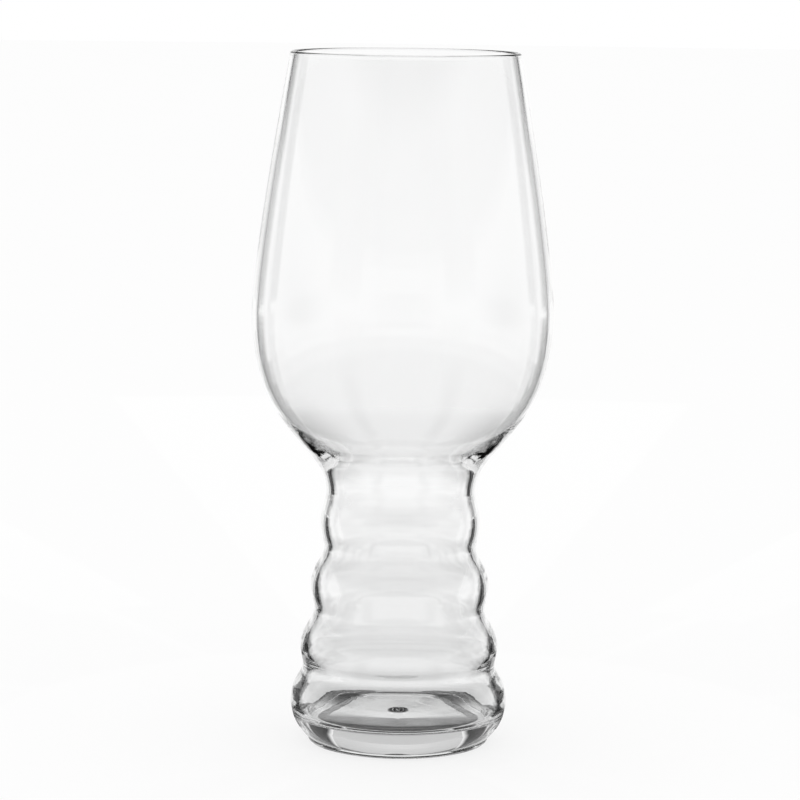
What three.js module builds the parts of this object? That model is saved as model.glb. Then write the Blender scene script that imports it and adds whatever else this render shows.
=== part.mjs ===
// Beer glass: a wide bowl on a hollow stem of swelling rings, fused to a heavy foot.
// Millimetres, +Z up. The origin is the centre of the ring that the glass stands on.
import * as THREE from 'three';

// Foot, from the table up
const RESTING_RADIUS = 24.3; // outer edge of the flat ring that touches the table
const RESTING_WIDTH = 4.3; // breadth of that flat ring
const PUNT_DEPTH = 0.2; // slight hollow under the foot, at its middle
const HEEL_ROUND = 0.8; // rounded lower edge of the heel
const HEEL_SIDE = 0.4; // upright side of the heel, up to the crease
const FOOT_RADIUS = 30.0; // widest ring of the foot
const FLANK_RISE = 9.9; // from the crease up to the widest ring
const WAIST_RISE = 10.3; // from the widest ring up to the waist
const FLOOR_LEVEL = 7.6; // floor of the hollow above the table
const FLOOR_ROUND = 3.0; // round corner between the floor and the wall
const FOOT_WALL = 2.5; // glass beside the hollow at its widest
const DIMPLE_RADIUS = 3.5; // small mark in the middle of the floor
const DIMPLE_DEPTH = 0.3;

// Waist, where the stem is fused to the foot
const WAIST_RADIUS = 26.7;
const WAIST_WALL = 2.4;

// Stem of rings, each smaller than the one below it
const RINGS = 3;
const RING_PITCH = 17.35; // height from one crest to the next
const FIRST_CREST_RISE = 4.9; // from the waist up to the lowest crest
const CREST_RISE = 6.5; // from a groove up to the crest above it
const LOW_RING_RADIUS = 27.4; // lowest crest
const RING_TAPER = 2.7; // radius lost from each crest to the next
const RING_DEPTH = 0.95; // how far a crest stands out over the groove below it
const RING_WALL = 1.95;
const NECK_RISE = 9.3; // from the top crest up to the neck

// Neck, where the bowl is fused to the stem
const NECK_RADIUS = 20.6;
const NECK_WALL = 2.2;

// Bowl
const BELLY_RISE = 49.8; // from the neck up to the widest ring of the bowl
const BELLY_RADIUS = 41.5;
const BELLY_WALL = 1.75;
const GLASS_HEIGHT = 191.1; // from the table up to the rim
const RIM_RADIUS = 31.55;
const RIM_WALL = 1.4;
const RIM_LEAN = 10.0; // degrees that the side leans in at the rim

// Roundness of the curves: how far a handle reaches, as a share of the curve's own span
const CREST_EASE = 0.47;
const GROOVE_EASE = 0.31;
const FOOT_EASE = 0.6;
const FLANK_SPREAD = 0.63;
const FLANK_LIFT = 0.25;
const FLANK_EASE = 0.39;
const NECK_EASE = 0.26;
const BELLY_EASE = 0.67;
const SIDE_EASE = 0.145;
const RIM_EASE = 0.4;
const HOLLOW_EASE = 0.5;
const INNER_NECK_EASE = 0.35;
const INNER_BELLY_EASE = 0.8;

// Finish of the clear glass
const GLASS_ROUGHNESS = 0.03;
const GLASS_OPACITY = 0.35;
const BOWL_COLOUR = 0xf6f8f8;
const STEM_COLOUR = 0xf2f5f5;
const FOOT_COLOUR = 0xeef2f2;

// Fineness of the mesh
const TURN_STEPS = 40; // around the axis
const LONG_STEPS = 10; // along a curve of the bowl
const SHORT_STEPS = 4; // along any other curve

// Levels that the pieces share
const CREASE_LEVEL = HEEL_ROUND + HEEL_SIDE;
const WIDEST_LEVEL = CREASE_LEVEL + FLANK_RISE;
const WAIST_LEVEL = WIDEST_LEVEL + WAIST_RISE;
const LOW_CREST_LEVEL = WAIST_LEVEL + FIRST_CREST_RISE;
const NECK_LEVEL = LOW_CREST_LEVEL + (RINGS - 1) * RING_PITCH + NECK_RISE;
const BELLY_LEVEL = NECK_LEVEL + BELLY_RISE;

// A point of a profile: distance from the axis, then height above the table.
function at(radius, level) {
  return new THREE.Vector2(radius, level);
}

// Curve from one ring to another that stands upright at both.
function upright(from, to, fromEase, toEase) {
  const rise = to.y - from.y;
  const leave = at(from.x, from.y + rise * fromEase);
  const arrive = at(to.x, to.y - rise * toEase);
  return new THREE.CubicBezierCurve(from, leave, arrive, to);
}

// Points along curves that follow one another, with each shared end taken once.
function trace(curves, steps) {
  const points = curves.flatMap((curve) => curve.getPoints(steps).slice(1));
  return [curves[0].getPoint(0), ...points];
}

// Solid turned about the upright axis from its profile.
function turned(name, profile, material) {
  const geometry = new THREE.LatheGeometry(profile, TURN_STEPS);
  geometry.rotateX(Math.PI / 2);
  const mesh = new THREE.Mesh(geometry, material);
  mesh.name = name;
  return mesh;
}

function clearGlass(color) {
  return new THREE.MeshStandardMaterial({
    color,
    roughness: GLASS_ROUGHNESS,
    metalness: 0,
    transparent: true,
    opacity: GLASS_OPACITY,
  });
}

// Rings that the stem passes through, from the waist up to the neck.
function stemRings() {
  const rings = [{ radius: WAIST_RADIUS, level: WAIST_LEVEL, wall: WAIST_WALL, ease: GROOVE_EASE }];
  for (let ring = 0; ring < RINGS; ring += 1) {
    const radius = LOW_RING_RADIUS - ring * RING_TAPER;
    const level = LOW_CREST_LEVEL + ring * RING_PITCH;
    const crest = { radius, level, wall: RING_WALL, ease: CREST_EASE };
    const groove = { ...crest, radius: radius - RING_DEPTH, level: level - CREST_RISE, ease: GROOVE_EASE };
    rings.push(...(ring > 0 ? [groove, crest] : [crest]));
  }
  rings.push({ radius: NECK_RADIUS, level: NECK_LEVEL, wall: NECK_WALL, ease: GROOVE_EASE });
  return rings;
}

// Curves along a run of rings, on the outside or set in by each ring's wall.
function alongRings(rings, inside) {
  const point = (ring) => at(inside ? ring.radius - ring.wall : ring.radius, ring.level);
  return rings.slice(1).map((ring, index) => {
    const below = rings[index];
    return upright(point(below), point(ring), below.ease, ring.ease);
  });
}

function makeStem() {
  const rings = stemRings();
  const outside = trace(alongRings(rings, false), SHORT_STEPS);
  const inside = trace(alongRings(rings, true), SHORT_STEPS).reverse();
  return turned('stem', [...outside, ...inside, outside[0]], clearGlass(STEM_COLOUR));
}

function makeFoot() {
  const restingEdge = at(RESTING_RADIUS, 0);
  const heelRadius = RESTING_RADIUS + HEEL_ROUND;
  const crease = at(heelRadius, CREASE_LEVEL);
  const widest = at(FOOT_RADIUS, WIDEST_LEVEL);
  const waist = at(WAIST_RADIUS, WAIST_LEVEL);
  const bore = at(WAIST_RADIUS - WAIST_WALL, WAIST_LEVEL);
  const hollowRadius = FOOT_RADIUS - FOOT_WALL;
  const hollow = at(hollowRadius, FLOOR_LEVEL + FLOOR_ROUND);
  const floorEdge = at(hollowRadius - FLOOR_ROUND, FLOOR_LEVEL);
  const dimpleEdge = at(DIMPLE_RADIUS, FLOOR_LEVEL);
  const dimple = at(0, FLOOR_LEVEL - DIMPLE_DEPTH);
  const punt = at(0, PUNT_DEPTH);
  const puntRadius = RESTING_RADIUS - RESTING_WIDTH;
  const puntEdge = at(puntRadius, 0);

  const underside = new THREE.QuadraticBezierCurve(punt, at(puntRadius / 2, PUNT_DEPTH), puntEdge);
  const heel = new THREE.QuadraticBezierCurve(restingEdge, at(heelRadius, 0), at(heelRadius, HEEL_ROUND));
  const flank = new THREE.CubicBezierCurve(
    crease,
    at(crease.x + (widest.x - crease.x) * FLANK_SPREAD, crease.y + FLANK_RISE * FLANK_LIFT),
    at(widest.x, widest.y - FLANK_RISE * FLANK_EASE),
    widest,
  );
  const shoulder = upright(widest, waist, FOOT_EASE, GROOVE_EASE);
  const wall = upright(bore, hollow, GROOVE_EASE, HOLLOW_EASE);
  const corner = new THREE.QuadraticBezierCurve(hollow, at(hollowRadius, FLOOR_LEVEL), floorEdge);
  const floorMark = new THREE.CubicBezierCurve(
    dimpleEdge,
    at(DIMPLE_RADIUS / 2, dimpleEdge.y),
    at(DIMPLE_RADIUS / 2, dimple.y),
    dimple,
  );

  const profile = [
    ...trace([underside], SHORT_STEPS),
    ...trace([heel], SHORT_STEPS),
    ...trace([flank, shoulder], SHORT_STEPS),
    ...trace([wall, corner], SHORT_STEPS),
    ...trace([floorMark], SHORT_STEPS),
  ];
  return turned('foot', profile, clearGlass(FOOT_COLOUR));
}

function makeBowl() {
  const neck = at(NECK_RADIUS, NECK_LEVEL);
  const belly = at(BELLY_RADIUS, BELLY_LEVEL);
  const lipRound = RIM_WALL / 2;
  const lipLevel = GLASS_HEIGHT - lipRound;
  const sideHeight = lipLevel - BELLY_LEVEL;
  const lean = Math.tan(THREE.MathUtils.degToRad(RIM_LEAN));

  const side = (wallAtBelly, wallAtRim) => {
    const bellyRadius = BELLY_RADIUS - wallAtBelly;
    const rimRadius = RIM_RADIUS - wallAtRim;
    const handle = sideHeight * RIM_EASE;
    return new THREE.CubicBezierCurve(
      at(bellyRadius, BELLY_LEVEL),
      at(bellyRadius, BELLY_LEVEL + sideHeight * SIDE_EASE),
      at(rimRadius + handle * lean, lipLevel - handle),
      at(rimRadius, lipLevel),
    );
  };
  const below = upright(neck, belly, NECK_EASE, BELLY_EASE);
  const lip = new THREE.EllipseCurve(RIM_RADIUS - lipRound, lipLevel, lipRound, lipRound, 0, Math.PI);
  const throat = at(NECK_RADIUS - NECK_WALL, NECK_LEVEL);
  const innerBelly = at(BELLY_RADIUS - BELLY_WALL, BELLY_LEVEL);
  const inside = upright(throat, innerBelly, INNER_NECK_EASE, INNER_BELLY_EASE);

  const profile = [
    ...trace([below, side(0, 0)], LONG_STEPS),
    ...trace([lip], SHORT_STEPS).slice(1, -1),
    ...trace([side(BELLY_WALL, RIM_WALL)], LONG_STEPS).reverse(),
    ...trace([inside], LONG_STEPS).reverse().slice(1),
    neck,
  ];
  return turned('bowl', profile, clearGlass(BOWL_COLOUR));
}

const glass = new THREE.Group();
glass.name = 'beer_glass';
glass.add(makeFoot(), makeStem(), makeBowl());

export default glass;
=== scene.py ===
"""Looks of a clear beer glass: a blown bowl, a stem of swelling rings and a heavy foot.

Sizes are in metres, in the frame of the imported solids: +Z up, and the origin at the centre of the
ring that the glass stands on.
"""

import logging
import math
from abc import ABC, abstractmethod
from dataclasses import dataclass, field
from enum import Enum

import bpy
from mathutils import Matrix, Vector


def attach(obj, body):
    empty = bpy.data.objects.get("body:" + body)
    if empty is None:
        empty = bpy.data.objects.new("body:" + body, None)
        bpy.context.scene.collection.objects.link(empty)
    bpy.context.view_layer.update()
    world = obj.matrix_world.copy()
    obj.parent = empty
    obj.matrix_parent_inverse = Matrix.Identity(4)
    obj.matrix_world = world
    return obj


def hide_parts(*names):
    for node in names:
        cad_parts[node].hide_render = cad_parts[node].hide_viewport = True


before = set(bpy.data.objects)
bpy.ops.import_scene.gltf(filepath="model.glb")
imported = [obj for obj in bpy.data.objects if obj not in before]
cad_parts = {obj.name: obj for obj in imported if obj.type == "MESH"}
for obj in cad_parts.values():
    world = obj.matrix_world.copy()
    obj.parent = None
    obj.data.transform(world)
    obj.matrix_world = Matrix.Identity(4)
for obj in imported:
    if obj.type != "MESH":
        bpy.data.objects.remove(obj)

log = logging.getLogger("beer_glass")

MM = 0.001
WHITE = (1.0, 1.0, 1.0, 1.0)

# A radius under this is a point on the axis.
ON_AXIS = 1e-7

# How far the handles of a bend reach towards its corner.
PARABOLA = 2 / 3
QUARTER_CIRCLE = 0.5523

Point = tuple[float, float]
Colour = tuple[float, float, float]


class SeenBy(Enum):
    """What a thing of the studio shows in."""

    ALL = "the picture and the glass"
    GLASS = "the glass alone, as a flag held outside the picture"


def between(start: Point, end: Point, share: float) -> Point:
    """Point at a share of the way from one point to another."""
    return (start[0] + (end[0] - start[0]) * share, start[1] + (end[1] - start[1]) * share)


def eased(share: float) -> float:
    """Smooth step from 0 to 1, held at both ends."""
    share = min(1.0, max(0.0, share))
    return share * share * (3.0 - 2.0 * share)


@dataclass(frozen=True)
class Curve:
    """A smooth stretch of a profile.

    Each point is a distance from the axis and a height above the table.
    """

    start: Point
    leave: Point
    arrive: Point
    end: Point

    @classmethod
    def upright(cls, start: Point, end: Point, start_ease: float, end_ease: float) -> "Curve":
        """Makes a stretch that stands upright at both ends.

        Args:
            start: First point.
            end: Last point.
            start_ease: Reach of the first handle, as a share of the rise.
            end_ease: Reach of the last handle, as a share of the rise.

        Returns:
            The stretch.
        """
        rise = end[1] - start[1]
        leave = (start[0], start[1] + rise * start_ease)
        arrive = (end[0], end[1] - rise * end_ease)
        return cls(start, leave, arrive, end)

    @classmethod
    def bend(cls, start: Point, corner: Point, end: Point, pull: float = PARABOLA) -> "Curve":
        """Makes a stretch that rounds off a corner.

        Args:
            start: First point.
            corner: Corner that is rounded off.
            end: Last point.
            pull: How far the handles reach towards the corner, as a share.

        Returns:
            The stretch.
        """
        return cls(start, between(start, corner, pull), between(end, corner, pull), end)

    @classmethod
    def straight(cls, start: Point, end: Point) -> "Curve":
        """Makes a straight stretch."""
        return cls.bend(start, ((start[0] + end[0]) / 2, (start[1] + end[1]) / 2), end)

    def turned_back(self) -> "Curve":
        """The same stretch walked from its end to its start."""
        return Curve(self.end, self.arrive, self.leave, self.start)

    def points(self, steps: int) -> list[Point]:
        """Walks along the stretch, with steps that crowd towards both ends.

        Args:
            steps: Number of steps.

        Returns:
            The points, both ends among them.
        """
        walked = []
        for step in range(steps + 1):
            t = (1 - math.cos(math.pi * step / steps)) / 2
            weights = ((1 - t) ** 3, 3 * (1 - t) ** 2 * t, 3 * (1 - t) * t**2, t**3)
            corners = (self.start, self.leave, self.arrive, self.end)
            walked.append(
                tuple(sum(w * c[axis] for w, c in zip(weights, corners)) for axis in (0, 1))
            )
        return walked


@dataclass
class TurnedMesh:
    """A mesh turned about the upright axis from one or more runs of a profile."""

    name: str
    turns: int = 160
    steps: int = 18
    verts: list[tuple[float, float, float]] = field(default_factory=list)
    faces: list[tuple[int, ...]] = field(default_factory=list)

    def _ring(self, point: Point) -> list[int]:
        """Adds the ring of one profile point.

        Args:
            point: Distance from the axis and height.

        Returns:
            The ring's vertex numbers, one for a point on the axis.
        """
        radius, level = point
        first = len(self.verts)
        if radius < ON_AXIS:
            self.verts.append((0.0, 0.0, level))
            return [first]
        for turn in range(self.turns):
            angle = 2 * math.pi * turn / self.turns
            self.verts.append((radius * math.cos(angle), radius * math.sin(angle), level))
        return list(range(first, len(self.verts)))

    def add_run(self, run: list[Curve]) -> None:
        """Turns one run of stretches that follow one another.

        Args:
            run: The stretches, with the glass on the left of the walk.
        """
        points = [run[0].start]
        for stretch in run:
            points.extend(stretch.points(self.steps)[1:])
        rings = [self._ring(point) for point in points]
        for below, above in zip(rings, rings[1:]):
            for turn in range(self.turns):
                after = (turn + 1) % self.turns
                corners = (
                    below[turn % len(below)],
                    below[after % len(below)],
                    above[after % len(above)],
                    above[turn % len(above)],
                )
                self.faces.append(tuple(dict.fromkeys(corners)))

    def make(self, smooth_to: float = 40.0) -> bpy.types.Object:
        """Makes the object.

        Args:
            smooth_to: Edges that turn by more than this, in degrees, stay crisp.

        Returns:
            The new object, linked to the scene.
        """
        mesh = bpy.data.meshes.new(self.name)
        mesh.from_pydata(self.verts, [], self.faces)
        mesh.update()
        mesh.shade_smooth()
        mesh.set_sharp_from_angle(angle=math.radians(smooth_to))
        piece = bpy.data.objects.new(self.name, mesh)
        bpy.context.scene.collection.objects.link(piece)
        return piece


class NodeSheet:
    """Places nodes in one tree and joins their sockets."""

    def __init__(self, tree: bpy.types.NodeTree) -> None:
        """Starts on an emptied tree."""
        self.tree = tree
        tree.nodes.clear()

    def add(self, kind: str, **values: object) -> bpy.types.Node:
        """Places a node.

        Args:
            kind: Blender's name of the node type.
            values: Properties of the node by name, and values of its inputs by socket name, with
                _ for a space.

        Returns:
            The node.
        """
        node = self.tree.nodes.new(kind)
        for name, value in values.items():
            if hasattr(node, name):
                setattr(node, name, value)
            else:
                node.inputs[name.replace("_", " ")].default_value = value
        return node

    def soft_step(self, start: float = 0.0, end: float = 1.0) -> bpy.types.Node:
        """Places a smooth step of a value, from 0 at the start to 1 at the end."""
        limits = {"From_Min": start, "From_Max": end}
        return self.add("ShaderNodeMapRange", interpolation_type="SMOOTHSTEP", **limits)

    def join(
        self, source: bpy.types.Node, output: str | int, target: bpy.types.Node, entry: str | int
    ) -> None:
        """Links an output of one node to an input of another, each by its name or number."""
        self.tree.links.new(source.outputs[output], target.inputs[entry])


class EffectGroup(ABC):
    """An effect that several finishes share, as a shader node group that is built once."""

    name: str
    inputs: dict[str, tuple[str, object]]
    outputs: dict[str, str]

    def get(self) -> bpy.types.NodeTree:
        """Finds the group, or builds it.

        Returns:
            The node group.
        """
        found = bpy.data.node_groups.get(self.name)
        if found is not None:
            return found
        tree = bpy.data.node_groups.new(self.name, "ShaderNodeTree")
        for label, (kind, value) in self.inputs.items():
            socket = tree.interface.new_socket(label, in_out="INPUT", socket_type=kind)
            socket.default_value = value
        for label, kind in self.outputs.items():
            tree.interface.new_socket(label, in_out="OUTPUT", socket_type=kind)
        sheet = NodeSheet(tree)
        self.fill(sheet, sheet.add("NodeGroupInput"), sheet.add("NodeGroupOutput"))
        return tree

    @abstractmethod
    def fill(self, sheet: NodeSheet, given: bpy.types.Node, made: bpy.types.Node) -> None:
        """Places the effect's own nodes between the group's inputs and outputs."""

    def place(self, sheet: NodeSheet, **values: object) -> bpy.types.Node:
        """Places the group in a material, with values for its inputs."""
        return sheet.add("ShaderNodeGroup", node_tree=self.get(), **values)


class BlownRipple(EffectGroup):
    """Slow swell of hot glass, with the finer drawn lines that a mould leaves round it."""

    name = "blown ripple"
    inputs = {
        "Swell": ("NodeSocketFloat", 60.0),
        "Drawn": ("NodeSocketFloat", 900.0),
        "Drawn Share": ("NodeSocketFloat", 0.1),
    }
    outputs = {"Height": "NodeSocketFloat"}
    # The fine lines are stretched along X and Y, so that they run round the glass.
    drawn_round = (0.05, 0.05, 1.0)

    def fill(self, sheet: NodeSheet, given: bpy.types.Node, made: bpy.types.Node) -> None:
        """Mixes a slow swell with fine lines that run round the glass.

        Args:
            sheet: Sheet of the group.
            given: The group's inputs.
            made: The group's outputs.
        """
        place = sheet.add("ShaderNodeTexCoord")
        swell = sheet.add("ShaderNodeTexNoise", Detail=1.0, Roughness=0.4)
        flat = sheet.add("ShaderNodeMapping", Scale=self.drawn_round)
        drawn = sheet.add("ShaderNodeTexNoise", Detail=2.0, Roughness=0.5)
        mixed = sheet.add("ShaderNodeMix", data_type="FLOAT")
        sheet.join(place, "Object", swell, "Vector")
        sheet.join(given, "Swell", swell, "Scale")
        sheet.join(place, "Object", flat, "Vector")
        sheet.join(flat, "Vector", drawn, "Vector")
        sheet.join(given, "Drawn", drawn, "Scale")
        sheet.join(given, "Drawn Share", mixed, "Factor")
        sheet.join(swell, "Fac", mixed, "A")
        sheet.join(drawn, "Fac", mixed, "B")
        sheet.join(mixed, "Result", made, "Height")


class HandlingFilm(EffectGroup):
    """Thin film of washing and hands: soft smears, and the spots of a few dried drops."""

    name = "handling film"
    inputs = {
        "Smear": ("NodeSocketFloat", 35.0),
        "Drops": ("NodeSocketFloat", 160.0),
        "Clean": ("NodeSocketFloat", 0.0),
        "Filmed": ("NodeSocketFloat", 0.02),
        "Colour": ("NodeSocketColor", WHITE),
        "Film Colour": ("NodeSocketColor", (0.97, 0.97, 0.97, 1.0)),
    }
    outputs = {"Roughness": "NodeSocketFloat", "Colour": "NodeSocketColor"}
    # Where each mask starts and where it is full.
    smear_edge = (0.45, 0.75)
    spot_edge = (0.10, 0.06)

    def fill(self, sheet: NodeSheet, given: bpy.types.Node, made: bpy.types.Node) -> None:
        """Masks the film by smears and spots, then mixes roughness and colour by it.

        Args:
            sheet: Sheet of the group.
            given: The group's inputs.
            made: The group's outputs.
        """
        place = sheet.add("ShaderNodeTexCoord")
        smear = sheet.add("ShaderNodeTexNoise", Detail=4.0, Roughness=0.6)
        soft = sheet.soft_step(*self.smear_edge)
        drops = sheet.add("ShaderNodeTexVoronoi", feature="F1", Randomness=1.0)
        spot = sheet.soft_step(*self.spot_edge)
        mask = sheet.add("ShaderNodeMath", operation="MAXIMUM", use_clamp=True)
        rough = sheet.add("ShaderNodeMix", data_type="FLOAT")
        tint = sheet.add("ShaderNodeMix", data_type="RGBA")
        for texture in (smear, drops):
            sheet.join(place, "Object", texture, "Vector")
        sheet.join(given, "Smear", smear, "Scale")
        sheet.join(given, "Drops", drops, "Scale")
        sheet.join(smear, "Fac", soft, "Value")
        sheet.join(drops, "Distance", spot, "Value")
        sheet.join(soft, "Result", mask, 0)
        sheet.join(spot, "Result", mask, 1)
        sheet.join(mask, "Value", rough, "Factor")
        sheet.join(given, "Clean", rough, "A")
        sheet.join(given, "Filmed", rough, "B")
        sheet.join(mask, "Value", tint, "Factor")
        sheet.join(given, "Colour", tint, "A")
        sheet.join(given, "Film Colour", tint, "B")
        sheet.join(rough, "Result", made, "Roughness")
        sheet.join(tint, "Result", made, "Colour")


class DepthTint(EffectGroup):
    """Faint grey of the metal where the glass is thick, clearing towards the thin wall."""

    name = "depth tint"
    inputs = {
        "Thick Level": ("NodeSocketFloat", 0.0),
        "Thin Level": ("NodeSocketFloat", 0.1),
        "Thick Colour": ("NodeSocketColor", (0.9, 0.9, 0.9, 1.0)),
        "Thin Colour": ("NodeSocketColor", (0.98, 0.98, 0.98, 1.0)),
    }
    outputs = {"Colour": "NodeSocketColor"}

    def fill(self, sheet: NodeSheet, given: bpy.types.Node, made: bpy.types.Node) -> None:
        """Mixes the two colours by height.

        Args:
            sheet: Sheet of the group.
            given: The group's inputs.
            made: The group's outputs.
        """
        place = sheet.add("ShaderNodeTexCoord")
        split = sheet.add("ShaderNodeSeparateXYZ")
        share = sheet.soft_step()
        mixed = sheet.add("ShaderNodeMix", data_type="RGBA")
        sheet.join(place, "Object", split, "Vector")
        sheet.join(split, "Z", share, "Value")
        sheet.join(given, "Thick Level", share, "From Min")
        sheet.join(given, "Thin Level", share, "From Max")
        sheet.join(share, "Result", mixed, "Factor")
        sheet.join(given, "Thick Colour", mixed, "A")
        sheet.join(given, "Thin Colour", mixed, "B")
        sheet.join(mixed, "Result", made, "Colour")


class Finish(ABC):
    """A material that is made from nodes."""

    name: str

    @abstractmethod
    def fill(self, sheet: NodeSheet) -> bpy.types.Node:
        """Places the finish's own nodes, and returns the last shader."""

    def make(self) -> bpy.types.Material:
        """Makes the material.

        Returns:
            The material.
        """
        material = bpy.data.materials.new(self.name)
        material.use_nodes = True
        sheet = NodeSheet(material.node_tree)
        surface = sheet.add("ShaderNodeOutputMaterial")
        sheet.join(self.fill(sheet), 0, surface, "Surface")
        return material


@dataclass(frozen=True)
class GlassFinish(Finish):
    """Clear glass: its faint tint, its ripple and the film on it."""

    name: str
    thick: Colour
    thin: Colour
    thick_level: float
    thin_level: float
    film_colour: Colour
    clean: float = 0.0
    filmed: float = 0.012
    smear: float = 35.0
    drops: float = 160.0
    swell: float = 60.0
    drawn: float = 900.0
    drawn_share: float = 0.1
    ripple: float = 0.0001
    ior: float = 1.52

    def fill(self, sheet: NodeSheet) -> bpy.types.Node:
        """Places the finish's nodes.

        Args:
            sheet: Sheet of the material.

        Returns:
            The last shader.
        """
        tint = DepthTint().place(
            sheet,
            Thick_Level=self.thick_level,
            Thin_Level=self.thin_level,
            Thick_Colour=(*self.thick, 1.0),
            Thin_Colour=(*self.thin, 1.0),
        )
        film = HandlingFilm().place(
            sheet,
            Smear=self.smear,
            Drops=self.drops,
            Clean=self.clean,
            Filmed=self.filmed,
            Film_Colour=(*self.film_colour, 1.0),
        )
        ripple = BlownRipple().place(
            sheet, Swell=self.swell, Drawn=self.drawn, Drawn_Share=self.drawn_share
        )
        bump = sheet.add("ShaderNodeBump", Strength=1.0, Distance=self.ripple)
        glass = sheet.add(
            "ShaderNodeBsdfPrincipled", Metallic=0.0, IOR=self.ior, Transmission_Weight=1.0
        )
        sheet.join(tint, "Colour", film, "Colour")
        sheet.join(film, "Colour", glass, "Base Color")
        sheet.join(film, "Roughness", glass, "Roughness")
        sheet.join(ripple, "Height", bump, "Height")
        sheet.join(bump, "Normal", glass, "Normal")
        return glass


BOWL_GLASS = GlassFinish(
    name="bowl_glass",
    thick=(0.984, 0.986, 0.986),
    thin=(0.990, 0.991, 0.991),
    thick_level=74 * MM,
    thin_level=112 * MM,
    film_colour=(0.984, 0.985, 0.985),
    swell=28.0,
    ripple=0.00004,
)
STEM_GLASS = GlassFinish(
    name="stem_glass",
    thick=(0.978, 0.980, 0.980),
    thin=(0.984, 0.985, 0.985),
    thick_level=20 * MM,
    thin_level=70 * MM,
    film_colour=(0.972, 0.974, 0.974),
    swell=75.0,
    ripple=0.00005,
)
FOOT_GLASS = GlassFinish(
    name="foot_glass",
    thick=(0.950, 0.953, 0.953),
    thin=(0.970, 0.972, 0.972),
    thick_level=2 * MM,
    thin_level=16 * MM,
    film_colour=(0.962, 0.964, 0.964),
    swell=85.0,
    ripple=0.00006,
)


@dataclass(frozen=True)
class Ring:
    """A ring where the wall stands upright: its outer radius, height and wall.

    The ease is the reach of the curves that meet there.
    """

    radius: float
    level: float
    wall: float
    ease: float

    @property
    def outside(self) -> Point:
        """Point of the ring on the outside."""
        return (self.radius, self.level)

    @property
    def inside(self) -> Point:
        """Point of the ring on the inside."""
        return (self.radius - self.wall, self.level)


WAIST = Ring(radius=26.7 * MM, level=21.4 * MM, wall=2.4 * MM, ease=0.31)
NECK = Ring(radius=20.6 * MM, level=70.3 * MM, wall=2.2 * MM, ease=0.31)


@dataclass
class GlassPart(ABC):
    """A formed part of the glass, open where it is fused to the next one."""

    node: str
    finish: GlassFinish

    @abstractmethod
    def runs(self) -> list[list[Curve]]:
        """The part's profile, as runs with the glass on the left of the walk."""

    def build(self) -> bpy.types.Object:
        """Turns the part and ties it to its solid.

        Returns:
            The new object.
        """
        turned = TurnedMesh(f"{self.node}_blown")
        for run in self.runs():
            turned.add_run(run)
        piece = turned.make()
        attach(piece, "root")
        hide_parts(self.node)
        return piece

    def dress(self, piece: bpy.types.Object) -> None:
        """Gives the part its glass."""
        piece.data.materials.append(self.finish.make())


@dataclass
class Foot(GlassPart):
    """The heavy foot under the waist: its floor, flank, heel and the slight hollow underneath."""

    resting_radius: float = 24.3 * MM
    resting_width: float = 4.3 * MM
    punt_depth: float = 0.2 * MM
    heel_round: float = 0.8 * MM
    heel_side: float = 0.4 * MM
    radius: float = 30.0 * MM
    flank_rise: float = 9.9 * MM
    floor_level: float = 7.6 * MM
    floor_round: float = 3.0 * MM
    wall: float = 2.5 * MM
    mark_radius: float = 3.5 * MM
    mark_depth: float = 0.3 * MM
    foot_ease: float = 0.6
    flank_spread: float = 0.63
    flank_lift: float = 0.25
    flank_ease: float = 0.39
    hollow_ease: float = 0.5

    def outside(self) -> list[Curve]:
        """The walk from the middle of the underside out to the waist.

        Returns:
            The stretches.
        """
        inner = self.resting_radius - self.resting_width
        heel = self.resting_radius + self.heel_round
        crease = (heel, self.heel_round + self.heel_side)
        widest = (self.radius, crease[1] + self.flank_rise)
        spread = crease[0] + (widest[0] - crease[0]) * self.flank_spread
        lifted = crease[1] + self.flank_rise * self.flank_lift
        eased = widest[1] - self.flank_rise * self.flank_ease
        return [
            Curve.bend((0.0, self.punt_depth), (inner / 2, self.punt_depth), (inner, 0.0)),
            Curve.straight((inner, 0.0), (self.resting_radius, 0.0)),
            Curve.bend((self.resting_radius, 0.0), (heel, 0.0), (heel, self.heel_round)),
            Curve.straight((heel, self.heel_round), crease),
            Curve(crease, (spread, lifted), (widest[0], eased), widest),
            Curve.upright(widest, WAIST.outside, self.foot_ease, WAIST.ease),
        ]

    def inside(self) -> list[Curve]:
        """The walk from the waist down to the middle of the floor.

        Returns:
            The stretches.
        """
        hollow = (self.radius - self.wall, self.floor_level + self.floor_round)
        floor_edge = (hollow[0] - self.floor_round, self.floor_level)
        mark_edge = (self.mark_radius, self.floor_level)
        mark = (0.0, self.floor_level - self.mark_depth)
        half = self.mark_radius / 2
        return [
            Curve.upright(WAIST.inside, hollow, WAIST.ease, self.hollow_ease),
            Curve.bend(hollow, (hollow[0], self.floor_level), floor_edge),
            Curve.straight(floor_edge, mark_edge),
            Curve(mark_edge, (half, mark_edge[1]), (half, mark[1]), mark),
        ]

    def runs(self) -> list[list[Curve]]:
        """The foot's outside and inside."""
        return [self.outside(), self.inside()]


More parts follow.
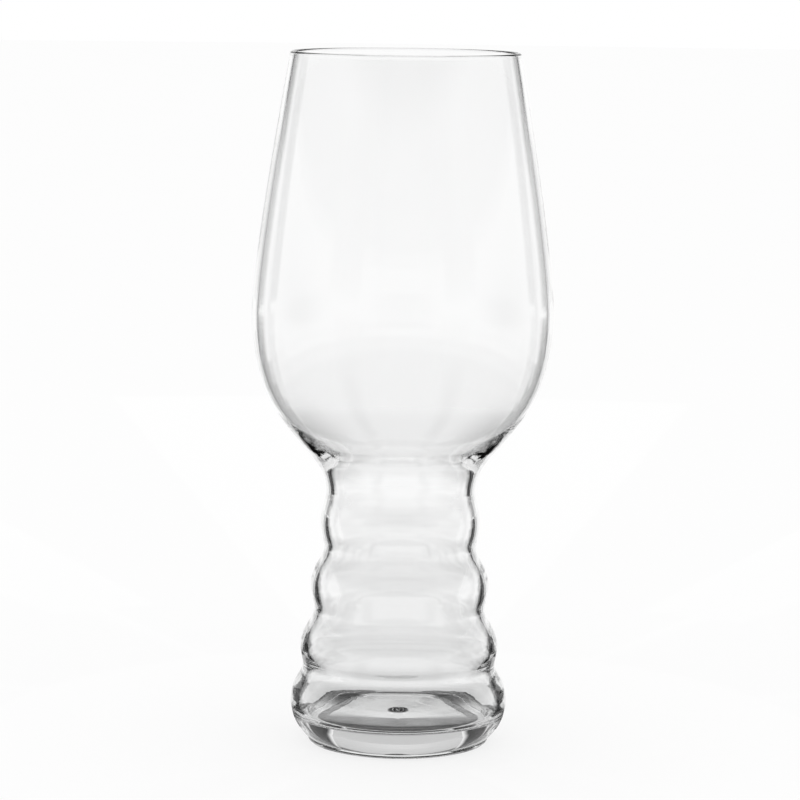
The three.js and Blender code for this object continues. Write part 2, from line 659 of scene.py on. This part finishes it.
@dataclass
class Stem(GlassPart):
    """The hollow stem: three swelling rings, each smaller than the one below."""

    rings: int = 3
    pitch: float = 17.35 * MM
    first_crest_rise: float = 4.9 * MM
    crest_rise: float = 6.5 * MM
    low_radius: float = 27.4 * MM
    taper: float = 2.7 * MM
    depth: float = 0.95 * MM
    wall: float = 1.95 * MM
    crest_ease: float = 0.47
    groove_ease: float = 0.31

    def stations(self) -> list[Ring]:
        """The rings that the wall passes through, from the waist up to the neck.

        Returns:
            The rings.
        """
        made = [WAIST]
        for ring in range(self.rings):
            radius = self.low_radius - ring * self.taper
            level = WAIST.level + self.first_crest_rise + ring * self.pitch
            if ring > 0:
                groove = (radius - self.depth, level - self.crest_rise)
                made.append(Ring(*groove, self.wall, self.groove_ease))
            made.append(Ring(radius, level, self.wall, self.crest_ease))
        return [*made, NECK]

    def runs(self) -> list[list[Curve]]:
        """The stem's outside, walked up, and its inside, walked down.

        Returns:
            The two runs.
        """
        rings = self.stations()
        pairs = list(zip(rings, rings[1:]))
        outside = [
            Curve.upright(low.outside, high.outside, low.ease, high.ease) for low, high in pairs
        ]
        inside = [
            Curve.upright(high.inside, low.inside, high.ease, low.ease)
            for low, high in reversed(pairs)
        ]
        return [outside, inside]


@dataclass
class Bowl(GlassPart):
    """The thin blown bowl, from the neck to the fire-polished rim."""

    belly_level: float = 120.1 * MM
    belly_radius: float = 41.5 * MM
    belly_wall: float = 1.75 * MM
    height: float = 191.1 * MM
    rim_radius: float = 31.55 * MM
    rim_wall: float = 1.4 * MM
    rim_lean: float = 10.0
    neck_ease: float = 0.26
    belly_ease: float = 0.67
    side_ease: float = 0.145
    rim_ease: float = 0.4
    inner_neck_ease: float = 0.35
    inner_belly_ease: float = 0.8

    def side(self, belly_wall: float, rim_wall: float) -> Curve:
        """The side from the belly up to the rim.

        Args:
            belly_wall: How far it is set in at the belly.
            rim_wall: How far it is set in at the rim.

        Returns:
            The stretch.
        """
        lip_level = self.height - self.rim_wall / 2
        rise = lip_level - self.belly_level
        handle = rise * self.rim_ease
        belly = self.belly_radius - belly_wall
        rim = self.rim_radius - rim_wall
        lean = math.tan(math.radians(self.rim_lean))
        return Curve(
            (belly, self.belly_level),
            (belly, self.belly_level + rise * self.side_ease),
            (rim + handle * lean, lip_level - handle),
            (rim, lip_level),
        )

    def lip(self) -> list[Curve]:
        """The round lip, walked inwards over the top.

        Returns:
            The two quarter rounds.
        """
        half = self.rim_wall / 2
        outer, inner = self.rim_radius, self.rim_radius - self.rim_wall
        level = self.height - half
        top = (self.rim_radius - half, self.height)
        return [
            Curve.bend((outer, level), (outer, self.height), top, pull=QUARTER_CIRCLE),
            Curve.bend(top, (inner, self.height), (inner, level), pull=QUARTER_CIRCLE),
        ]

    def runs(self) -> list[list[Curve]]:
        """One run: up the outside, over the lip and down the inside to the throat.

        Returns:
            The run.
        """
        belly = (self.belly_radius, self.belly_level)
        inner_belly = (self.belly_radius - self.belly_wall, self.belly_level)
        inner_eases = (self.inner_belly_ease, self.inner_neck_ease)
        run = [
            Curve.upright(NECK.outside, belly, self.neck_ease, self.belly_ease),
            self.side(0.0, 0.0),
            *self.lip(),
            self.side(self.belly_wall, self.rim_wall).turned_back(),
            Curve.upright(inner_belly, NECK.inside, *inner_eases),
        ]
        return [run]


@dataclass(frozen=True)
class PaleFloor(Finish):
    """Finish of the plain pale floor, which shows white and keeps the glass's shadow."""

    name: str = "pale_floor"
    light: Colour = (0.99, 0.99, 0.99)
    shade: Colour = (0.97, 0.97, 0.97)
    glow: float = 0.8
    mottle: float = 6.0
    mottle_detail: float = 3.0
    roughness: float = 0.8

    def fill(self, sheet: NodeSheet) -> bpy.types.Node:
        """Places the finish's nodes.

        Args:
            sheet: Sheet of the material.

        Returns:
            The last shader.
        """
        place = sheet.add("ShaderNodeTexCoord")
        mottle = sheet.add("ShaderNodeTexNoise", Scale=self.mottle, Detail=self.mottle_detail)
        shade, light = (*self.shade, 1.0), (*self.light, 1.0)
        tone = sheet.add("ShaderNodeMix", data_type="RGBA", A=shade, B=light)
        paint = sheet.add("ShaderNodeBsdfPrincipled", Roughness=self.roughness)
        white = sheet.add("ShaderNodeEmission", Strength=1.0)
        path = sheet.add("ShaderNodeLightPath")
        seen = sheet.add("ShaderNodeMath", operation="ADD", use_clamp=True)
        through = sheet.add("ShaderNodeMath", operation="ADD", use_clamp=True)
        share = sheet.add("ShaderNodeMath", operation="MULTIPLY")
        share.inputs[1].default_value = self.glow
        mixed = sheet.add("ShaderNodeMixShader")
        sheet.join(place, "Object", mottle, "Vector")
        sheet.join(mottle, "Fac", tone, "Factor")
        sheet.join(tone, "Result", paint, "Base Color")
        sheet.join(path, "Is Camera Ray", seen, 0)
        sheet.join(path, "Is Glossy Ray", seen, 1)
        sheet.join(seen, "Value", through, 0)
        sheet.join(path, "Is Transmission Ray", through, 1)
        sheet.join(through, "Value", share, 0)
        sheet.join(share, "Value", mixed, "Fac")
        sheet.join(paint, "BSDF", mixed, 1)
        sheet.join(white, "Emission", mixed, 2)
        return mixed


@dataclass(frozen=True)
class FlagGlow(Finish):
    """Finish of a flag: a glowing sheet with a fine weave, in the grey kept at its points."""

    name: str
    grey_layer: str
    weave: float = 0.04
    threads: float = 400.0

    def fill(self, sheet: NodeSheet) -> bpy.types.Node:
        """Places the finish's nodes.

        Args:
            sheet: Sheet of the material.

        Returns:
            The last shader.
        """
        # The grey glows rather than being lit; under the foot it is painted shadow.
        glow_grey = sheet.add("ShaderNodeAttribute", attribute_name=self.grey_layer)
        place = sheet.add("ShaderNodeTexCoord")
        threads = sheet.add("ShaderNodeTexNoise", Scale=self.threads)
        weave = sheet.add("ShaderNodeMapRange", To_Min=1.0 - self.weave, To_Max=1.0)
        tone = sheet.add("ShaderNodeMath", operation="MULTIPLY")
        glowing_sheet = sheet.add("ShaderNodeEmission", Strength=1.0)
        sheet.join(place, "Object", threads, "Vector")
        sheet.join(threads, "Fac", weave, "Value")
        sheet.join(glow_grey, "Fac", tone, 0)
        sheet.join(weave, "Result", tone, 1)
        sheet.join(tone, "Value", glowing_sheet, "Color")
        return glowing_sheet


@dataclass(frozen=True)
class FlagRings:
    """Radii of the rings that the flags lie between, from the axis outwards."""

    core: float = 0.5 * MM
    punt: float = 19.5 * MM
    heel_in: float = 22.5 * MM
    heel_out: float = 25.5 * MM
    foot: float = 30 * MM
    back: float = 40 * MM
    flank: float = 55 * MM
    close: float = 0.1
    shadow: float = 0.12
    beside: float = 0.2
    side: float = 0.25
    low: float = 0.4
    back_end: float = 0.5
    behind: float = 0.7
    out: float = 0.8
    out_end: float = 1.3
    wall: float = 1.5


@dataclass(frozen=True)
class FlagLevels:
    """Heights of the rings that the flags lie or hang between."""

    under: float = -0.1 * MM
    table: float = 0.0
    tall: float = 0.16
    high: float = 0.22
    dim: float = 0.35
    top: float = 0.7


@dataclass(frozen=True)
class Flag:
    """A pair of flags, one on each side of the glass: strips between two rings.

    They span bearings, in degrees from straight behind the glass, as the camera looks. The grey
    runs from the near ring to the far one, and fades to white at the two ends of the span.
    """

    name: str
    near: Point
    far: Point
    grey: float
    far_grey: float | None = None
    first: float = 0.0
    last: float = 180.0
    fade_in: float = 0.0
    fade_out: float = 0.0
    step: float = 1.0
    rows: int = 12

    @classmethod
    def flat(cls, name: str, level: float, near: float, far: float, **looks: float) -> "Flag":
        """Makes a pair that lies at one level, between two radii."""
        return cls(name, (near, level), (far, level), **looks)

    @classmethod
    def hung(cls, name: str, radius: float, low: float, high: float, **looks: float) -> "Flag":
        """Makes a pair that hangs at one radius, between two levels."""
        return cls(name, (radius, low), (radius, high), **looks)

    def grey_at(self, bearing: float, share: float) -> float:
        """Grey of one point.

        Args:
            bearing: Bearing of the point.
            share: Way from the near ring to the far one, 0 to 1.

        Returns:
            The grey, 1 for white.
        """
        far_grey = self.grey if self.far_grey is None else self.far_grey
        grey = self.grey + (far_grey - self.grey) * eased(share)
        weight = 1.0
        if self.fade_in > 0.0:
            weight *= eased((bearing - self.first) / self.fade_in)
        if self.fade_out > 0.0:
            weight *= eased((self.last - bearing) / self.fade_out)
        return 1.0 + (grey - 1.0) * weight

    def build(self, line_of_sight: float) -> bpy.types.Object:
        """Makes the pair, which shows in the glass alone.

        Args:
            line_of_sight: Way the camera looks, in degrees clockwise from +Y, seen from above.

        Returns:
            The new object.
        """
        verts, faces, greys = [], [], []
        steps = max(1, round((self.last - self.first) / self.step))
        across = self.rows + 1
        for side in (1, -1):
            start = len(verts)
            for step in range(steps + 1):
                bearing = self.first + (self.last - self.first) * step / steps
                angle = math.radians(line_of_sight + side * bearing)
                for row in range(across):
                    share = row / self.rows
                    radius, level = between(self.near, self.far, share)
                    verts.append((radius * math.sin(angle), radius * math.cos(angle), level))
                    greys.append(self.grey_at(bearing, share))
            for step in range(steps):
                for row in range(self.rows):
                    corner = start + step * across + row
                    faces.append((corner, corner + 1, corner + across + 1, corner + across))
        mesh = bpy.data.meshes.new(self.name)
        mesh.from_pydata(verts, [], faces)
        layer = mesh.attributes.new("grey", "FLOAT", "POINT")
        layer.data.foreach_set("value", greys)
        mesh.materials.append(FlagGlow(self.name, layer.name).make())
        flag = bpy.data.objects.new(self.name, mesh)
        bpy.context.scene.collection.objects.link(flag)
        show(flag, SeenBy.GLASS)
        return flag


def show(thing: bpy.types.Object, seen_by: SeenBy) -> None:
    """Sets what a thing of the studio shows in.

    Args:
        thing: The studio's object.
        seen_by: What it shows in.
    """
    everywhere = seen_by is SeenBy.ALL
    thing.visible_camera = everywhere
    thing.visible_diffuse = everywhere
    thing.visible_shadow = everywhere


@dataclass
class Studio:
    """Plain pale floor, white surroundings, flags that draw the glass's edges, and the camera.

    The roof is a list of heights, as the Z of a direction, each with the grey that the glass sees
    there. Fewer bounces leave the corners at the neck black, and more turn them mid grey.
    """

    floor_radius: float = 6.0
    floor_drop: float = 0.2 * MM
    camera_back: float = 913.75 * MM
    camera_up: float = 222.64 * MM
    pitch: float = 7.926
    pan: float = 0.03
    roll: float = 0.686
    lens: float = 150.44
    sensor: float = 36.0
    clip: Point = (0.01, 50.0)
    bounces: int = 48
    line_of_sight: float = 135.0
    roof: tuple[Point, ...] = (
        (0.04, 1.0),
        (0.08, 0.8),
        (0.12, 0.68),
        (0.25, 0.6),
        (0.29, 0.05),
        (0.42, 0.03),
        (0.90, 0.0),
        (1.0, 0.2),
    )

    def floor(self) -> bpy.types.Object:
        """Lays the floor.

        Returns:
            The floor.
        """
        laid = TurnedMesh("floor", turns=96, steps=12)
        edge, middle = (self.floor_radius, -self.floor_drop), (0.0, -self.floor_drop)
        laid.add_run([Curve.straight(edge, middle)])
        floor = laid.make()
        floor.data.materials.append(PaleFloor().make())
        show(floor, SeenBy.ALL)
        return floor

    def flags(self) -> list[bpy.types.Object]:
        """Hangs the flags.

        Returns:
            The flags.
        """
        ring, level = FlagRings(), FlagLevels()
        under, table = level.under, level.table
        dark, edge, side_dim, front_dim = 0.02, 0.35, 0.58, 0.72
        # Painted shadow and light on the floor round the foot, shown only in the glass: the shade_
        # pairs darken the floor under and round the foot as its shadow, and glow_under_foot paints
        # the floor bright under the punt.
        painted_shade_and_glow_under_foot = [
            Flag.flat("glow_under_foot", under, ring.core, ring.punt, grey=0.97, last=66.0),
            Flag.flat(
                "shade_under_foot", under, ring.core, ring.punt, grey=dark, first=66.0, fade_in=25.0
            ),
            Flag.flat(
                "shade_in_heel", under, ring.punt, ring.heel_in, grey=dark, first=26.0, fade_in=8.0
            ),
            Flag.flat(
                "shade_at_heel", under, ring.heel_in, ring.heel_out,
                grey=dark, last=65.0, fade_out=20.0,
            ),
            Flag.flat(
                "shade_by_heel", under, ring.heel_out, ring.foot,
                grey=dark, first=14.0, last=65.0, fade_out=20.0,
            ),
            Flag.flat("shade_behind_heel", under, ring.heel_out, ring.foot, grey=0.45, last=14.0),
            Flag.flat(
                "shade_before_heel", under, ring.heel_in, ring.foot,
                grey=0.8, first=65.0, fade_in=20.0,
            ),
            Flag.flat(
                "shade_round_foot", under, ring.foot, ring.shadow,
                grey=0.78, far_grey=0.9, last=127.0,
            ),
        ]
        black_lines = [
            Flag.flat(
                "flag_by_flank", table, ring.foot, ring.flank,
                grey=0.03, first=50.0, last=92.0, fade_in=4.0, fade_out=6.0,
            ),
            Flag.flat(
                "flag_close", table, ring.flank, ring.close,
                grey=dark, first=46.0, last=130.0, fade_in=6.0, fade_out=50.0,
            ),
            Flag.flat(
                "flag_close_out", table, ring.close, ring.beside,
                grey=dark, far_grey=1.0, first=64.0, last=125.0, fade_out=50.0,
            ),
            Flag.flat(
                "flag_beside", table, ring.close, ring.beside,
                grey=dark, first=29.0, last=64.0, fade_in=3.0, fade_out=4.0,
            ),
            Flag.flat(
                "flag_low", table, ring.beside, ring.low,
                grey=dark, first=33.0, last=60.0, fade_in=2.0, fade_out=6.0,
            ),
            Flag.flat(
                "flag_out", table, ring.low, ring.out,
                grey=dark, first=33.0, last=52.0, fade_in=2.0, fade_out=4.0,
            ),
            Flag.flat(
                "flag_out_end", table, ring.out, ring.out_end,
                grey=dark, far_grey=1.0, first=38.0, last=52.0, fade_out=4.0,
            ),
            Flag.flat(
                "flag_far", table, ring.out, ring.wall,
                grey=edge, first=30.0, last=38.0, fade_in=2.0,
            ),
            Flag.hung(
                "flag_tall", ring.wall, table, level.tall,
                grey=edge, first=30.0, last=50.0, fade_in=2.0, fade_out=6.0,
            ),
            Flag.hung(
                "flag_high", ring.wall, level.tall, level.high,
                grey=edge, first=30.0, last=50.0, fade_in=2.0, fade_out=6.0,
            ),
            Flag.hung(
                "flag_top", ring.wall, level.high, level.top,
                grey=dark, first=28.0, last=50.0, fade_in=4.0, fade_out=4.0,
            ),
        ]
        grey_bands = [
            Flag.flat(
                "grey_beside", table, ring.beside, ring.out,
                grey=0.65, first=24.0, last=33.0, fade_in=3.0,
            ),
            Flag.hung(
                "grey_tall", ring.wall, table, level.tall,
                grey=0.8, first=20.0, last=30.0, fade_in=5.0,
            ),
            Flag.flat(
                "grey_behind", table, ring.shadow, ring.low,
                grey=0.9, far_grey=0.94, last=11.5, fade_out=1.0,
            ),
            Flag.flat(
                "grey_far_behind", table, ring.low, ring.behind,
                grey=0.94, far_grey=1.0, last=11.5, fade_out=1.0,
            ),
        ]
        beside = {"first": 62.0, "last": 122.0, "fade_in": 28.0, "fade_out": 28.0}
        in_front = {"first": 148.0, "fade_in": 30.0}
        soft_dims = [
            Flag.flat(
                "dim_side", table, ring.side, ring.wall, grey=1.0, far_grey=side_dim, **beside
            ),
            Flag.hung(
                "dim_side_tall", ring.wall, table, level.dim, grey=side_dim, far_grey=1.0, **beside
            ),
            Flag.flat(
                "dim_front", table, ring.out, ring.wall, grey=1.0, far_grey=front_dim, **in_front
            ),
            Flag.hung(
                "dim_front_tall", ring.wall, table, level.dim,
                grey=front_dim, far_grey=1.0, **in_front,
            ),
            Flag.flat(
                "dim_back", under, ring.back, ring.back_end,
                grey=0.5, far_grey=1.0, first=127.0, last=153.0, fade_in=12.0, fade_out=12.0,
            ),
        ]
        hung = painted_shade_and_glow_under_foot + black_lines + grey_bands + soft_dims
        return [flag.build(self.line_of_sight) for flag in hung]

    def world(self) -> None:
        """Makes the surroundings: a white tent, whose roof the glass shows falling off to black."""
        world = bpy.data.worlds.new("white_tent")
        bpy.context.scene.world = world
        world.use_nodes = True
        sheet = NodeSheet(world.node_tree)
        place = sheet.add("ShaderNodeTexCoord")
        split = sheet.add("ShaderNodeSeparateXYZ")
        roof = sheet.add("ShaderNodeValToRGB")
        stops = roof.color_ramp.elements
        while len(stops) < len(self.roof):
            stops.new(1.0)
        for stop, (height, grey) in zip(stops, self.roof):
            stop.position = height
            stop.color = (grey, grey, grey, 1.0)
        path = sheet.add("ShaderNodeLightPath")
        by_glass = sheet.add("ShaderNodeMath", operation="ADD", use_clamp=True)
        tone = sheet.add("ShaderNodeMix", data_type="RGBA", A=WHITE)
        white = sheet.add("ShaderNodeBackground", Strength=1.0)
        surface = sheet.add("ShaderNodeOutputWorld")
        sheet.join(place, "Generated", split, "Vector")
        sheet.join(split, "Z", roof, "Fac")
        sheet.join(path, "Is Glossy Ray", by_glass, 0)
        sheet.join(path, "Is Transmission Ray", by_glass, 1)
        sheet.join(by_glass, "Value", tone, "Factor")
        sheet.join(roof, "Color", tone, "B")
        sheet.join(tone, "Result", white, "Color")
        sheet.join(white, "Background", surface, "Surface")

    def camera(self) -> bpy.types.Object:
        """Sets the camera at the photograph's viewing angle.

        Returns:
            The camera.
        """
        data = bpy.data.cameras.new("camera")
        data.sensor_width = self.sensor
        data.lens = self.lens
        data.clip_start, data.clip_end = self.clip
        camera = bpy.data.objects.new("camera", data)
        bpy.context.scene.collection.objects.link(camera)
        camera.matrix_world = (
            Matrix.Rotation(math.radians(-self.line_of_sight), 4, "Z")
            @ Matrix.Translation((0.0, -self.camera_back, self.camera_up))
            @ Matrix.Rotation(math.radians(self.pan), 4, "Z")
            @ Matrix.Rotation(math.radians(90.0 - self.pitch), 4, "X")
            @ Matrix.Rotation(math.radians(self.roll), 4, "Z")
        )
        bpy.context.scene.camera = camera
        return camera

    def build(self) -> None:
        """Sets up the studio."""
        scene = bpy.context.scene
        scene.view_settings.view_transform = "Standard"
        for kind in ("max", "transmission", "glossy", "transparent_max"):
            setattr(scene.cycles, f"{kind}_bounces", self.bounces)
        self.world()
        log.info("floor: %s", self.floor().name)
        log.info("flags: %d", len(self.flags()))
        log.info("camera: %s", self.camera().name)


def main() -> None:
    """Builds the studio and the glass, and keeps the boxes of the solids and the dressed glass."""
    logging.basicConfig(level=logging.INFO, format="%(message)s")
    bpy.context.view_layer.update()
    Studio().build()
    for part in (Foot("foot", FOOT_GLASS), Stem("stem", STEM_GLASS), Bowl("bowl", BOWL_GLASS)):
        piece = part.build()
        part.dress(piece)
        log.info("%s: %d faces", piece.name, len(piece.data.polygons))


if __name__ == "__main__":
    main()
